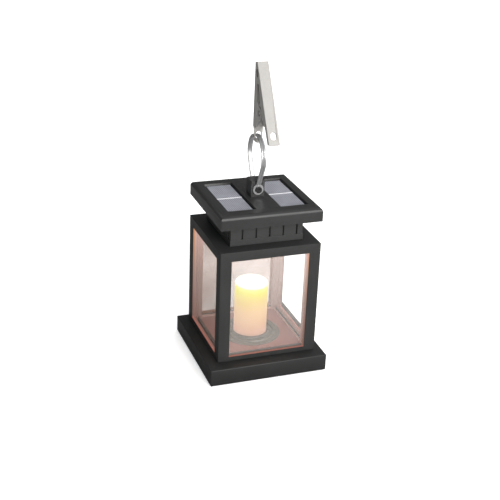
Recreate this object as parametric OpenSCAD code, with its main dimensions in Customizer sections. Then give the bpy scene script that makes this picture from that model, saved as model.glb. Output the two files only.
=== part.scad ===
// Solar lantern with a hanging bail and a spring clip.
// The lantern stands on the XY plane, Z is up and its front looks along -Y.

/* [Base] */
// Width of the square base
base_w = 86; // [84:0.5:90]
// Height of the outer edge of the base
base_edge_z = 12.5; // [12:0.1:13.5]
// Height where the base meets the lantern body
base_top_z = 14.5; // [14.2:0.1:15.5]

/* [Lantern body] */
// Width of the square lantern body
body_w = 72; // [71.5:0.1:72.5]
// Height of the top of the lantern body
body_top_z = 97; // [92:0.5:100]
// Width of a window opening
window_w = 56; // [55:0.1:56]
// Height of the lower edge of the windows
window_low_z = 17.7; // [17.4:0.1:18.5]
// Height of the upper edge of the windows
window_high_z = 90.3; // [84:0.1:90.5]

/* [Candle] */
// Diameter of the candle
candle_d = 24; // [20:0.5:24.4]
// Length of the candle
candle_len = 41; // [25:0.5:55]

/* [Roof] */
// Height of the narrow neck between the body and the roof
neck_h = 16; // [15.5:0.1:18]
// Width of the neck
neck_w = 52; // [51.5:0.1:53]
// Width of the roof
roof_w = 72; // [71.8:0.1:73]
// Total height of the roof edge
roof_h = 9.8; // [9.6:0.1:11]
// Radius of the rounded upper edge of the roof
roof_round = 3.1; // [1:0.1:3.5]
// Height of the hanging post on the roof
post_h = 11.4; // [10:0.1:13]

/* [Hanger] */
// Radius of the upper arc of the bail, at the middle of the strip
bail_r = 14; // [13:0.1:15]
// Width of the bail strip
bail_w = 3.4; // [3:0.1:3.5]
// Length of a clip lever
lever_len = 56; // [54:0.5:60]
// Width of a clip lever
lever_w = 7.6; // [7.6:0.1:8.4]
// Angle between the clip levers when the jaws are closed
clip_angle = 29.7; // [27:0.1:31]

/* [Hidden] */
$fn = 64;
wall = 2.2;
fit = 0.02;
clear_gap = 0.05;
screw_r = 1.25;
screw_head_r = 2.6;
pilot_r = screw_r + fit;

foot_gap = 0.5;
foot_r = 5;
foot_at = 32;
cover_z = 1.4;
cover_t = 1.8;
cover_screw_at = 22;
base_screw_head = 1;

body_half = body_w / 2;
window_half = window_w / 2;
post_mid = (body_half + window_half) / 2;
pane_out = body_half - 3;
pane_t = 1.5;
pane_half = window_half + 2;
pane_low_z = base_top_z + 0.2;
pane_high_z = window_high_z + 1.1;
ceiling_z = body_top_z - 2.5;
led_hole_r = 4;
neck_screw_at = 20;

floor_top_z = base_top_z + 1.2;
bead_out = pane_out - pane_t - 0.1;
bead_in = window_half + 1.8;
bead_top_z = window_low_z - 0.2;
dish_r = 22;
candle_z = floor_top_z + 0.3;
candle_wall = 1.6;
candle_round = 1.5;

neck_top_z = body_top_z + neck_h;
neck_floor_z = body_top_z + 1.5;
neck_in = neck_w - 2 * wall;
band_z = body_top_z + 4.4;
slot_w = 1.1;
slot_depth = 1.4;
slot_first = -17.7;
slot_pitch = 9.8;
slot_count = 5;

flange_t = 2;
flange_top_z = neck_top_z + flange_t;
seal_t = 0.9;
ledge_z = flange_top_z + seal_t;
roof_top_z = neck_top_z + roof_h;
roof_rim_in = roof_w - 2 * 2.1;
roof_well_in = roof_w - 2 * 4;
roof_ceiling_z = roof_top_z - 3.9;
roof_screw_at = 29.5;
pocket_x0 = 8.7;
pocket_x1 = 28.9;
pocket_half = 26.5;
pocket_depth = 2.6;
board_t = 1;
cell_edge = 1.3;
cell_x0 = pocket_x0 + cell_edge;
cell_x1 = pocket_x1 - cell_edge;
cell_half = pocket_half - cell_edge;
cell_low_z = roof_top_z - pocket_depth + board_t;
cell_t = 0.3;
busbar_t = 0.1;
busbar_w = 1.1;
wire_hole_y = 20;
wire_r = 0.5;
wire_sides = 8;
wire_side = 0.8;

holder_y = 10.6;
cell_r = 5.2;
cell_len = 30;
cell_z = neck_floor_z + 1.2 + cell_r;
pcb_z = neck_floor_z + 4.5;
pcb_t = 1.6;
pcb_half = 15;
pcb_y0 = -17;
pcb_y1 = 3.9;
pcb_screw = [12, -14];
led_r = 2.5;

switch_x = -29.7;
switch_rest_y = -1;

post_w = 10;
post_half = post_w / 2;
bail_pin_z = roof_top_z + 5.4;
bail_t = 0.9;
bail_eye_r = 3.8;
bail_mid_y = post_half + clear_gap + bail_t / 2;
bail_bend_z = bail_pin_z + 3.3;
bail_mid_z = bail_bend_z + 19.8;
bail_top_z = bail_mid_z + bail_r;

steel_t = 0.8;
pivot_s = 32;
pivot_h = 10.6;
pivot_r = 1.4;
ear_r = 4.2;
hole_r = 2;
hole_reach = 0.6;
hole_s = 49.8;
tongue_r = 2.9;
lever_half = lever_w / 2;
clip_hole_z = bail_top_z + 0.5;
rear_face_y = -0.6;
clip_pivot = [0, rear_face_y - pivot_h, clip_hole_z + hole_s - pivot_s];
jaw_gap = 0.12;
spring_wire = 0.84;
spring_r = 2.3;
spring_pitch = 0.8;
spring_turns = 3;
spring_x = -1.3;
spring_arm_x = 1.3;
spring_reach = 12;

black = [0.15, 0.16, 0.16];
steel = [0.72, 0.71, 0.69];
rubber = [0.08, 0.08, 0.08];
zinc = [0.55, 0.55, 0.57];

// A square slab centred on the lantern's axis
module tile(w, z0, z1) {
    translate([-w / 2, -w / 2, z0]) cube([w, w, z1 - z0]);
}

// A box between two corners
module block(low, high) {
    translate(low) cube(high - low);
}

// A standing cylinder between two heights
module rod(r, z0, z1) {
    translate([0, 0, z0]) cylinder(r = r, h = z1 - z0);
}

// Copies at the four corners of a square
module corners(at) {
    for (x = [-at, at], y = [-at, at]) translate([x, y, 0]) children();
}

// Copies turned to face the four sides
module sides() {
    for (turn = [0:90:270]) rotate([0, 0, turn]) children();
}

// A flat profile drawn in X and Z, carried along Y
module along_y(len) {
    rotate([90, 0, 0]) linear_extrude(len, center = true) children();
}

// The common part of one profile carried along Y and the same carried along X
module crossed(len) {
    intersection() {
        along_y(len) children();
        rotate([0, 0, 90]) along_y(len) children();
    }
}

// A screw that points up, with its head below seat_z
module screw(seat_z, reach, head_h, head_r = screw_head_r) {
    difference() {
        rod(head_r, seat_z - head_h, seat_z);
        for (turn = [0, 90]) rotate([0, 0, turn])
            block([-1.4, -0.3, seat_z - head_h - 1], [1.4, 0.3, seat_z - head_h + 0.5]);
    }
    rod(screw_r, seat_z - 0.1, seat_z + reach);
}

module base_outline() {
    polygon([
        [-base_w / 2, foot_gap], [base_w / 2, foot_gap], [base_w / 2, base_edge_z],
        [body_half, base_top_z], [-body_half, base_top_z], [-base_w / 2, base_edge_z]
    ]);
}

module base_plate() {
    ceiling = base_edge_z - wall;
    color(black) difference() {
        union() {
            difference() {
                crossed(base_w) base_outline();
                tile(base_w - 2 * wall, 0, ceiling);
            }
            corners(cover_screw_at) rod(3.5, cover_z + cover_t, ceiling + 0.5);
        }
        corners(cover_screw_at) rod(pilot_r, cover_z, ceiling + 1);
        corners(post_mid) rod(1.6, ceiling - 1, base_top_z + 1);
    }
}

module base_cover() {
    color(black) difference() {
        tile(base_w - 2 * wall - 0.4, cover_z, cover_z + cover_t);
        corners(foot_at) rod(foot_r + 0.1, cover_z - 1, cover_z + 0.8);
        corners(cover_screw_at) rod(screw_head_r + 0.1, cover_z - 1, cover_z + base_screw_head);
        corners(cover_screw_at) rod(1.5, cover_z - 1, cover_z + cover_t + 1);
    }
}

module base_screws() {
    color(zinc) corners(cover_screw_at)
        screw(cover_z + base_screw_head, 6.5, base_screw_head);
}

module rubber_feet() {
    color(rubber) corners(foot_at) rod(foot_r, 0, cover_z + 0.8);
}

module frame_screws() {
    color(zinc) corners(post_mid) screw(base_edge_z - wall, 15, 2);
}

module floor_tray() {
    short = window_half - 0.2;
    long = bead_in - 0.2;
    color([0.55, 0.4, 0.36]) {
        block([-short, -long, base_top_z], [short, long, floor_top_z]);
        block([-long, -short, base_top_z], [long, short, floor_top_z]);
    }
}

module sill_beads() {
    color(black) sides()
        block([-window_half + 0.1, -bead_out, base_top_z], [window_half - 0.1, -bead_in, bead_top_z]);
}

module candle_dish() {
    ring_z = floor_top_z + 0.6;
    lip_z = floor_top_z + 1.5;
    collar_z = floor_top_z + 2.4;
    collar_in = candle_d / 2 + 0.2;
    color([0.3, 0.3, 0.3]) rotate_extrude() polygon([
        [0, floor_top_z], [dish_r, floor_top_z], [dish_r, ring_z - 0.2],
        [dish_r - 0.3, ring_z], [18.2, ring_z], [17.8, lip_z],
        [16.8, lip_z], [16.4, ring_z - 0.1], [14.2, ring_z - 0.1],
        [13.7, collar_z], [collar_in + 0.3, collar_z], [collar_in, collar_z - 0.4],
        [collar_in, candle_z], [0, candle_z]
    ]);
}

module candle() {
    r = candle_d / 2;
    top = candle_z + candle_len;
    color([1, 0.85, 0.5]) rotate_extrude() difference() {
        union() {
            translate([0, candle_z]) square([r, candle_len - candle_round]);
            translate([0, candle_z]) square([r - candle_round, candle_len]);
            intersection() {
                translate([r - candle_round, top - candle_round]) circle(candle_round);
                translate([0, candle_z]) square([r + 1, candle_len + 1]);
            }
        }
        translate([-1, candle_z - 1]) square([r - candle_wall + 1, candle_len + 1 - candle_wall]);
    }
}

module lantern_frame() {
    window = [window_half, body_half + 1];
    color(black) difference() {
        tile(body_w, base_top_z, body_top_z);
        tile(window_w, base_top_z - 1, ceiling_z);
        for (turn = [0, 90]) rotate([0, 0, turn]) {
            block([-window.x, -window.y, window_low_z], [window.x, window.y, window_high_z]);
            block([-window.x, -pane_out, base_top_z - 1], [window.x, pane_out, window_low_z + 1]);
        }
        sides() block(
            [-pane_half - 0.1, -pane_out - fit, base_top_z - 1],
            [pane_half + 0.1, -pane_out + pane_t + fit, pane_high_z + 0.2]
        );
        corners(post_mid) rod(pilot_r, base_top_z - 1, base_top_z + 12);
        corners(neck_screw_at) rod(1.5, ceiling_z - 1, body_top_z + 1);
        rod(led_hole_r, ceiling_z - 1, body_top_z + 1);
    }
}

// One clear pane, turned to its side
module pane(turn) {
    color([0.85, 0.75, 0.72, 0.4]) rotate([0, 0, turn])
        block([-pane_half, -pane_out, pane_low_z], [pane_half, -pane_out + pane_t, pane_high_z]);
}

module pane_front() { pane(0); }
module pane_right() { pane(90); }
module pane_back() { pane(180); }
module pane_left() { pane(270); }

module neck_housing() {
    half = neck_w / 2;
    color(black) difference() {
        union() {
            difference() {
                union() {
                    tile(neck_w, body_top_z, neck_top_z + 0.5);
                    tile(neck_w + 0.6, body_top_z, band_z);
                    tile(roof_rim_in - 0.4, neck_top_z, flange_top_z);
                }
                tile(neck_in, neck_floor_z, flange_top_z + 1);
            }
            corners(neck_screw_at) rod(3, neck_floor_z - 0.5, neck_floor_z + 8);
            for (x = [-pcb_screw.x, pcb_screw.x]) translate([x, pcb_screw.y, 0])
                rod(2, neck_floor_z - 0.5, pcb_z);
        }
        sides() for (i = [0:slot_count - 1])
            translate([slot_first + i * slot_pitch, -half, 0]) block(
                [-slot_w / 2, -1, band_z], [slot_w / 2, slot_depth, neck_top_z]
            );
        corners(neck_screw_at) rod(pilot_r, body_top_z - 1, body_top_z + 8);
        corners(roof_screw_at) rod(1.5, neck_top_z - 1, flange_top_z + 1);
        for (x = [-pcb_screw.x, pcb_screw.x]) translate([x, pcb_screw.y, 0])
            rod(1.02, neck_floor_z, pcb_z + 1);
        rod(led_hole_r, body_top_z - 1, neck_floor_z + 1);
        block([switch_x - 0.8, -2.2, neck_top_z - 1], [switch_x + 0.8, 2.2, flange_top_z + 1]);
    }
}

module neck_screws() {
    color(zinc) corners(neck_screw_at) screw(ceiling_z, 9.5, 1.6);
}

module battery_holder() {
    base = neck_floor_z;
    color([0.2, 0.2, 0.22]) translate([0, holder_y, 0]) difference() {
        block([-18.2, -6.4, base], [18.2, 6.4, base + 8.5]);
        block([-17, -cell_r - 0.2, base + 1.2 - fit], [17, cell_r + 0.2, base + 10]);
    }
}

module battery_cell() {
    color([0.2, 0.55, 0.3]) translate([0, holder_y, cell_z]) rotate([0, 90, 0]) {
        rod(cell_r - 0.02, -cell_len / 2, cell_len / 2);
        rod(1.9, cell_len / 2 - 0.5, cell_len / 2 + 0.9);
    }
}

module battery_contacts() {
    color(zinc) translate([0, holder_y, cell_z]) rotate([0, 90, 0]) {
        for (z0 = [-16.9, 16.5]) block([-5, -4, z0], [3.5, 4, z0 + 0.4]);
        for (z0 = [-16.6, 15.9]) difference() {
            rod(3.2, z0, z0 + 0.7);
            rod(2.2, z0 - 1, z0 + 2);
        }
        difference() {
            rod(3, -16.6, -15.1);
            rod(2.2, -17, -15);
        }
    }
}

module circuit_board() {
    color([0.1, 0.4, 0.2]) difference() {
        block([-pcb_half, pcb_y0, pcb_z], [pcb_half, pcb_y1, pcb_z + pcb_t]);
        for (x = [-pcb_screw.x, pcb_screw.x]) translate([x, pcb_screw.y, 0])
            rod(1.2, pcb_z - 1, pcb_z + 3);
    }
    color([0.1, 0.1, 0.1]) {
        block([-4, -12, pcb_z + pcb_t - 0.1], [1, -8, pcb_z + pcb_t + 1.4]);
        block([4, -13, pcb_z + pcb_t - 0.1], [8, -9.5, pcb_z + pcb_t + 2]);
    }
}

module board_screws() {
    color(zinc) for (x = [-pcb_screw.x, pcb_screw.x]) translate([x, pcb_screw.y, 0]) {
        rod(2, pcb_z + pcb_t, pcb_z + pcb_t + 1.2);
        rod(1, pcb_z - 3, pcb_z + pcb_t + 0.1);
    }
}

module led_lamp() {
    dome_z = pcb_z - 7.5;
    color([1, 0.75, 0.3]) {
        translate([0, 0, dome_z]) sphere(led_r);
        rod(led_r, dome_z, pcb_z - 2);
        rod(led_r + 0.4, pcb_z - 3, pcb_z - 2);
        for (x = [-1.27, 1.27]) translate([x, 0, 0]) rod(0.3, pcb_z - 2.1, pcb_z);
    }
}

module roof_outline() {
    half = roof_w / 2;
    translate([-half, neck_top_z]) square([roof_w, roof_h - roof_round]);
    translate([-half + roof_round, neck_top_z]) square([roof_w - 2 * roof_round, roof_h]);
    for (x = [-half + roof_round, half - roof_round])
        translate([x, roof_top_z - roof_round]) circle(roof_round);
}

// The square hanging post with small rounded edges
module hanging_post() {
    edge = 0.7;
    translate([0, 0, roof_top_z - 0.5]) linear_extrude(post_h + 0.5) {
        square([post_w, post_w - 2 * edge], center = true);
        square([post_w - 2 * edge, post_w], center = true);
        for (x = [-1, 1], y = [-1, 1])
            translate([x * (post_half - edge), y * (post_half - edge)]) circle(edge);
    }
}

module roof_cap() {
    color(black) difference() {
        union() {
            difference() {
                crossed(roof_w) roof_outline();
                tile(roof_rim_in, neck_top_z - 1, ledge_z);
                tile(roof_well_in, neck_top_z - 1, roof_ceiling_z);
            }
            corners(roof_screw_at) rod(2.4, flange_top_z + fit, roof_ceiling_z + 0.5);
            hanging_post();
        }
        for (side = [-1, 1]) {
            mirror([side < 0 ? 1 : 0, 0, 0]) block(
                [pocket_x0, -pocket_half, roof_top_z - pocket_depth],
                [pocket_x1, pocket_half, roof_top_z + 1]
            );
            translate([side * (pocket_x0 + pocket_x1) / 2, wire_hole_y, 0])
                rod(1.6, roof_ceiling_z - 1, roof_top_z);
        }
        corners(roof_screw_at) rod(pilot_r, neck_top_z, roof_ceiling_z + 2);
        for (turn = [0, 180]) rotate([0, 0, turn]) translate([0, -post_half - 1, bail_pin_z])
            rotate([-90, 0, 0]) rod(pilot_r, 0, 4.6);
    }
}

module roof_seal() {
    color(rubber) difference() {
        tile(roof_rim_in - 0.2, flange_top_z, ledge_z);
        tile(roof_well_in + 0.4, flange_top_z - 1, ledge_z + 1);
    }
}

module roof_screws() {
    color(zinc) corners(roof_screw_at) screw(neck_top_z, 7, 1.4, 2.4);
}

// The black carrier board of one solar panel, on the right for side 1
module panel_board(side) {
    color([0.06, 0.07, 0.1]) mirror([side < 0 ? 1 : 0, 0, 0]) block(
        [pocket_x0 + 0.3, -pocket_half + 0.3, roof_top_z - pocket_depth],
        [pocket_x1 - 0.3, pocket_half - 0.3, roof_top_z - pocket_depth + board_t]
    );
}

module panel_board_left() { panel_board(-1); }
module panel_board_right() { panel_board(1); }

// One solar cell, on the right for side 1
module solar_cell(side) {
    color([0.55, 0.55, 0.65]) mirror([side < 0 ? 1 : 0, 0, 0])
        block([cell_x0, -cell_half, cell_low_z], [cell_x1, cell_half, cell_low_z + cell_t]);
}

module solar_cell_left() { solar_cell(-1); }
module solar_cell_right() { solar_cell(1); }

module solar_busbars() {
    z0 = cell_low_z + cell_t;
    color([0.85, 0.85, 0.88]) for (side = [0, 1]) mirror([side, 0, 0])
        block([cell_x0, -busbar_w / 2, z0], [cell_x1, busbar_w / 2, z0 + busbar_t]);
}

// The corners of a wire's section at one of its points, square to the way it runs there
function wire_ring(points, i) =
    let (
        before = points[max(i - 1, 0)],
        after = points[min(i + 1, len(points) - 1)],
        along = (i == 0 || i == len(points) - 1) ? after - before
            : (after - points[i]) / norm(after - points[i]) + (points[i] - before) / norm(points[i] - before),
        ahead = along / norm(along),
        across = cross(ahead, [0.6, 0.8, 0]),
        side_a = across / norm(across),
        side_b = cross(ahead, side_a)
    )
    [for (a = [0:360 / wire_sides:359]) points[i] + wire_r * (cos(a) * side_a + sin(a) * side_b)];

// A wire through a list of points
module wire(points) {
    last = len(points) - 1;
    rings = [for (i = [0:last]) wire_ring(points, i)];
    walls = [for (i = [0:last - 1], k = [0:wire_sides - 1])
        let (a = i * wire_sides + k, b = i * wire_sides + (k + 1) % wire_sides)
        [a, b, b + wire_sides, a + wire_sides]];
    ends = [
        [for (k = [wire_sides - 1:-1:0]) k],
        [for (k = [0:wire_sides - 1]) last * wire_sides + k]
    ];
    polyhedron([for (ring = rings) each ring], concat(walls, ends), convexity = 4);
}

// Two leads of one colour: from a solar panel and from the battery to the board
module leads(side) {
    pcb_top = pcb_z + pcb_t;
    panel_x = side * ((pocket_x0 + pocket_x1) / 2 + wire_side);
    wire([
        [panel_x, wire_hole_y, roof_top_z - pocket_depth], [panel_x, wire_hole_y, neck_top_z + 3.5],
        [side * 17, 1, neck_top_z + 0.5], [side * 12, -6, neck_top_z - 4], [side * 12, -6, pcb_top]
    ]);
    wire([
        [side * 16.7, holder_y, cell_z + 5], [side * 16.7, holder_y, cell_z + 7],
        [side * 13, 1, cell_z + 6], [side * 13, 1, pcb_top]
    ]);
}

module wires_red() { color("firebrick") leads(1); }
module wires_black() { color([0.1, 0.1, 0.1]) leads(-1); }

module switch_body() {
    color([0.25, 0.25, 0.25]) difference() {
        block([switch_x - 1.9, -4.3, flange_top_z], [switch_x + 1.9, 4.3, flange_top_z + 3.4]);
        block([switch_x - 0.8, -2.2, flange_top_z - 1], [switch_x + 0.8, 2.2, flange_top_z + 1.4]);
    }
}

module switch_knob() {
    color([0.12, 0.12, 0.12]) translate([switch_x, switch_rest_y, 0])
        block([-0.65, -1, neck_top_z - 1.5], [0.65, 1, flange_top_z + 1.2]);
}

module bail_screws() {
    seat = post_half + 2 * clear_gap + bail_t;
    color(zinc) for (turn = [0, 180]) rotate([0, 0, turn]) translate([0, -seat, bail_pin_z])
        rotate([-90, 0, 0]) screw(0, 4.2, 1.2, 2.3);
}

// One leg of the bail: straight from where it leaves the arc to a bend, then down the post
module bail_leg(from, bend, down) {
    t = bail_t / 2 - 0.01;
    along = (bend - from) / norm(bend - from);
    side_a = [-along.y, along.x];
    side_b = [1, 0];
    mitre = t * (side_a + side_b) / (1 + side_a * side_b);
    start = from - 0.3 * along;
    foot = bend + [0, -down];
    polygon([
        start + t * side_a, bend + mitre, foot + t * side_b,
        foot - t * side_b, bend - mitre, start - t * side_a
    ]);
}

// The bail's profile: an arc that runs by two straight legs down to the post
module bail_outline() {
    bend = [bail_mid_y, bail_bend_z - bail_mid_z];
    touch_a = atan2(bend.y, bend.x) + acos(bail_r / norm(bend));
    touch = bail_r * [cos(touch_a), sin(touch_a)];
    reach = 3 * bail_r;
    translate([0, bail_mid_z]) {
        difference() {
            circle(bail_r + bail_t / 2, $fn = 128);
            circle(bail_r - bail_t / 2, $fn = 128);
            polygon([
                [0, 0], reach * [cos(touch_a), sin(touch_a)], [reach, -reach], [-reach, -reach],
                reach * [-cos(touch_a), sin(touch_a)]
            ]);
        }
        for (side = [0, 1]) mirror([side, 0])
            bail_leg(touch, bend, bail_bend_z - bail_pin_z);
    }
}

module bail_loop() {
    color(steel) difference() {
        union() {
            rotate([90, 0, 90]) linear_extrude(bail_w, center = true) bail_outline();
            for (side = [-1, 1]) translate([0, side * bail_mid_y, bail_pin_z])
                rotate([90, 0, 0]) cylinder(r = bail_eye_r, h = bail_t, center = true);
        }
        translate([0, 0, bail_pin_z]) rotate([90, 0, 0])
            cylinder(r = screw_r + clear_gap, h = 4 * bail_mid_y, center = true);
    }
}

// Depth of the line where the two levers meet, at a distance s from the tip
function meet(s) = pivot_h - (pivot_s - s) * tan(clip_angle / 2) - jaw_gap;

// A point of a lever's side, from its depth h and its distance s from the tip
function side_point(h, s) = [pivot_h - h, pivot_s - s];

// The toothed edge that both levers share, from the tip to just above the pivot
jaw_edge = [
    [0, 0], [meet(0), 0], [meet(4.3), 4.3], [meet(4.3) - 1.8, 5], [meet(10) - 2.2, 9.4],
    [meet(10), 10], [meet(13.5), 13.5], [meet(13.5) - 2, 14.3], [meet(26) - 2.8, 25.4], [meet(27), 27.1]
];

// The edge of the rear lever from its ear to its tongue
rear_edge = [
    [pivot_h, pivot_s - ear_r], [pivot_h, pivot_s + ear_r], [7.6, 39], [4.2, 44.6],
    [2.4, 47.4], [0.8, 48.6], [0, 48.6]
];

// The outer edge of the front lever past the ear of the rear one
front_edge = [[5.9, 28.6], [5.9, 32], [5.7, 36], [4.4, 40], [3.4, 45], [3, lever_len - 1.6], [0, lever_len]];

// The inner ear of the front lever
front_ear = [
    [3, 24.5], [pivot_h, pivot_s - ear_r], [pivot_h, pivot_s + ear_r], [7.5, 38], [3, 41]
];

// Where the front lever's inner ear joins its outer side
front_joggle = [[0.2, 25], [4.6, 26.5], [5.8, 28.8], [5.8, 32], [5.6, 36], [4.2, 40], [0.2, 41]];

// A plate of a lever's side between two distances from its middle, on both sides
module cheeks(x0, x1, edge) {
    for (side = [0, 1]) mirror([side, 0, 0]) translate([x0, 0, 0])
        rotate([90, 0, 90]) linear_extrude(x1 - x0)
            polygon([for (p = edge) side_point(p.x, p.y)]);
}

// Round eyes about the pivot
module eyes(x0, x1) {
    for (side = [0, 1]) mirror([side, 0, 0]) translate([x0, 0, 0])
        rotate([0, 90, 0]) cylinder(r = ear_r, h = x1 - x0);
}

// The face of a lever, as a flat sheet pierced by its long hole
module web(outline_len) {
    translate([0, pivot_h, pivot_s]) rotate([90, 0, 0]) linear_extrude(steel_t) difference() {
        children();
        for (reach = [-hole_reach, hole_reach]) translate([0, -hole_s + reach]) circle(hole_r);
        translate([0, -hole_s]) square([2 * hole_r, 2 * hole_reach], center = true);
    }
}

// A lever face with rounded corners at the tip
module tip_outline(low_s) {
    edge = 1;
    translate([-lever_half, -low_s]) square([lever_w, low_s - edge]);
    translate([-lever_half + edge, -edge - 0.1]) square([lever_w - 2 * edge, edge + 0.1]);
    for (x = [-1, 1]) translate([x * (lever_half - edge), -edge]) circle(edge);
}

module pin_bore() {
    rotate([0, 90, 0]) cylinder(r = pivot_r + clear_gap, h = 4 * lever_w, center = true);
}

module clip_rear_lever() {
    tail_s = hole_s + 2.7;
    color(steel) translate(clip_pivot) difference() {
        union() {
            web() {
                tip_outline(42);
                polygon([
                    [-lever_half, -41.9], [-tongue_r, -48.6], [-tongue_r, -tail_s],
                    [tongue_r, -tail_s], [tongue_r, -48.6], [lever_half, -41.9]
                ]);
                translate([0, -tail_s]) circle(tongue_r);
            }
            intersection() {
                cheeks(lever_half - steel_t, lever_half, concat(jaw_edge, rear_edge));
                block([-lever_half, -50, -11.6], [lever_half, 50, 50]);
            }
            eyes(lever_half - steel_t, lever_half);
        }
        pin_bore();
    }
}

// Turns the shape of a lever into the front lever's place
module front_place() {
    translate(clip_pivot) rotate([-clip_angle, 0, 0]) mirror([0, 1, 0]) children();
}

module clip_front_lever() {
    inner = lever_half - 2 * steel_t - 0.1;
    corner = 1.2;
    color(steel) front_place() difference() {
        union() {
            web() {
                tip_outline(lever_len - corner);
                translate([-lever_half + corner, -lever_len])
                    square([lever_w - 2 * corner, corner + 0.1]);
                for (x = [-1, 1]) translate([x * (lever_half - corner), -lever_len + corner])
                    circle(corner);
            }
            cheeks(lever_half - steel_t, lever_half, concat(jaw_edge, front_edge));
            cheeks(inner, lever_half - steel_t + 0.1, front_joggle);
            cheeks(inner, inner + steel_t, front_ear);
            eyes(inner, inner + steel_t);
        }
        pin_bore();
    }
}

module clip_pin() {
    color(zinc) translate(clip_pivot) rotate([0, 90, 0]) {
        rod(pivot_r, -lever_half - 0.3, lever_half + 0.3);
        for (side = [0, 1]) mirror([0, 0, side]) rod(2, lever_half + clear_gap, lever_half + 0.5);
    }
}

// Turns of wire beside each other round the clip's pin, the first one at x
module coil(x, turns) {
    rotate([0, 90, 0]) rotate_extrude()
        for (i = [0:turns - 1]) translate([spring_r, x + i * spring_pitch]) circle(spring_wire / 2);
}

// The straight arm of the spring that leans on a lever's face
module arm(x) {
    reach = [0, pivot_h - steel_t - 1 - spring_r, -spring_reach];
    translate([x, spring_r, 0]) rotate([acos(-reach.z / norm(reach)), 0, 0])
        translate([0, 0, -norm(reach)]) cylinder(r = spring_wire / 2 - fit, h = norm(reach));
}

module clip_spring() {
    color(zinc) translate(clip_pivot) {
        coil(spring_x, spring_turns);
        arm(spring_x);
    }
}

module clip_spring_arm() {
    color(zinc) front_place() {
        coil(spring_arm_x, 1);
        arm(spring_arm_x);
    }
}

base_plate();
base_cover();
base_screws();
rubber_feet();
frame_screws();
floor_tray();
sill_beads();
candle_dish();
candle();
lantern_frame();
pane_front();
pane_back();
pane_left();
pane_right();
neck_housing();
neck_screws();
battery_holder();
battery_cell();
battery_contacts();
circuit_board();
board_screws();
led_lamp();
roof_cap();
roof_seal();
roof_screws();
panel_board_left();
panel_board_right();
solar_cell_left();
solar_cell_right();
solar_busbars();
wires_red();
wires_black();
switch_body();
switch_knob();
bail_screws();
bail_loop();
clip_rear_lever();
clip_pin();
clip_spring();
clip_front_lever();
clip_spring_arm();
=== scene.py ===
"""Solar lantern with a hanging bail and a spring clip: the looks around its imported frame."""

import math

import bmesh
import bpy
from mathutils import Matrix, Vector


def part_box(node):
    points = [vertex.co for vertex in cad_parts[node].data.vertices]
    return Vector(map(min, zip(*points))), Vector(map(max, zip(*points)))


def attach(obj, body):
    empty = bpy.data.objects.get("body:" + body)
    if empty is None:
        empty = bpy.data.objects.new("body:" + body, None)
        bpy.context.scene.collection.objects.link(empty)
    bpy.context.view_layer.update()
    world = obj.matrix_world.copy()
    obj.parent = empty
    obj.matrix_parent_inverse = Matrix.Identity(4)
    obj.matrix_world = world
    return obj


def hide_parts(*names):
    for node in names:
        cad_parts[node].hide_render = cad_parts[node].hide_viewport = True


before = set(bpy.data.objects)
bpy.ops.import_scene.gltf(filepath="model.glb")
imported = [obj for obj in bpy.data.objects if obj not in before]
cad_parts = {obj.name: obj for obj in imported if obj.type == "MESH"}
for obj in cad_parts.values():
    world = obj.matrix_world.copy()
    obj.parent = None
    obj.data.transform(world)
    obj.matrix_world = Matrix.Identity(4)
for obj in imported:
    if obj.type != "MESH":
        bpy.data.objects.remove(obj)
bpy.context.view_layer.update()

bl_info = {
    "name": "Solar Lantern",
    "version": (1, 0, 0),
    "blender": (4, 5, 0),
    "location": "3D View > Sidebar > Lantern",
    "description": "Builds the finished surfaces of a solar lantern around its frame",
    "category": "Add Mesh",
}

MM = 0.001

BODY_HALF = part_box("lantern_frame")[1].x
BODY_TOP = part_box("lantern_frame")[1].z
FLOOR_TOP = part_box("floor_tray")[1].z
CANDLE_LOW, CANDLE_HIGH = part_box("candle")
CLIP_PIN_LOW, CLIP_PIN_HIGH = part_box("clip_pin")
CLIP_PIN = (CLIP_PIN_LOW + CLIP_PIN_HIGH) / 2
CLIP_ANGLE = math.radians(29.7)

MERGE_DISTANCE = 0.001 * MM
FINE_BUMP = 0.012
UNLIT = (0.0, 0.0, 0.0)
WHITE = (1.0, 1.0, 1.0)

# The lamp's light up the lantern, as (share of the height, colour).
POST_LIGHT = (
    (0.0, (0.19, 0.10, 0.08)),
    (0.5, (0.32, 0.23, 0.20)),
    (1.0, (0.62, 0.41, 0.36)),
)
JAMB_LIGHT = (
    (0.03, (0.34, 0.12, 0.095)),
    (0.05, (0.17, 0.10, 0.088)),
    (0.5, (0.31, 0.19, 0.165)),
    (1.0, (0.60, 0.29, 0.15)),
)
# The candle is no lamp: its glow up its height is the overhead lamp's light painted into its
# emission, white at the top where the lamp shines on it.
CANDLE_LIGHT = (
    (0.0, (0.30, 0.17, 0.13)),
    (0.10, (0.52, 0.29, 0.20)),
    (0.48, (0.62, 0.39, 0.18)),
    (0.70, (0.62, 0.45, 0.08)),
    (0.86, (0.62, 0.60, 0.01)),
    (0.935, (0.78, 0.74, 0.12)),
    (0.97, (1.1, 1.1, 0.95)),
)

# Each pane's haze: colour at the bottom and top, then density at the bottom and top. The panes are
# alike; beyond a faint real haze, their tints and densities are painted light and shade set per
# pane: painted lamp light in the back pane's tan, painted shade in the left pane's smoke.
PALE_HAZE = ((0.90, 0.85, 0.81), (0.92, 0.87, 0.84))
TAN_HAZE_AND_LAMP_LIGHT = ((0.24, 0.10, 0.03), (0.24, 0.10, 0.03))
SMOKE_HAZE_AND_SHADE = ((0.50, 0.46, 0.43), (0.50, 0.36, 0.30))
PANES = (
    ("pane_front", PALE_HAZE, 0.075, 0.11),
    ("pane_right", PALE_HAZE, 0.03, 0.03),
    ("pane_back", TAN_HAZE_AND_LAMP_LIGHT, 0.40, 0.44),
    ("pane_left", SMOKE_HAZE_AND_SHADE, 0.20, 0.08),
)

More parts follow.
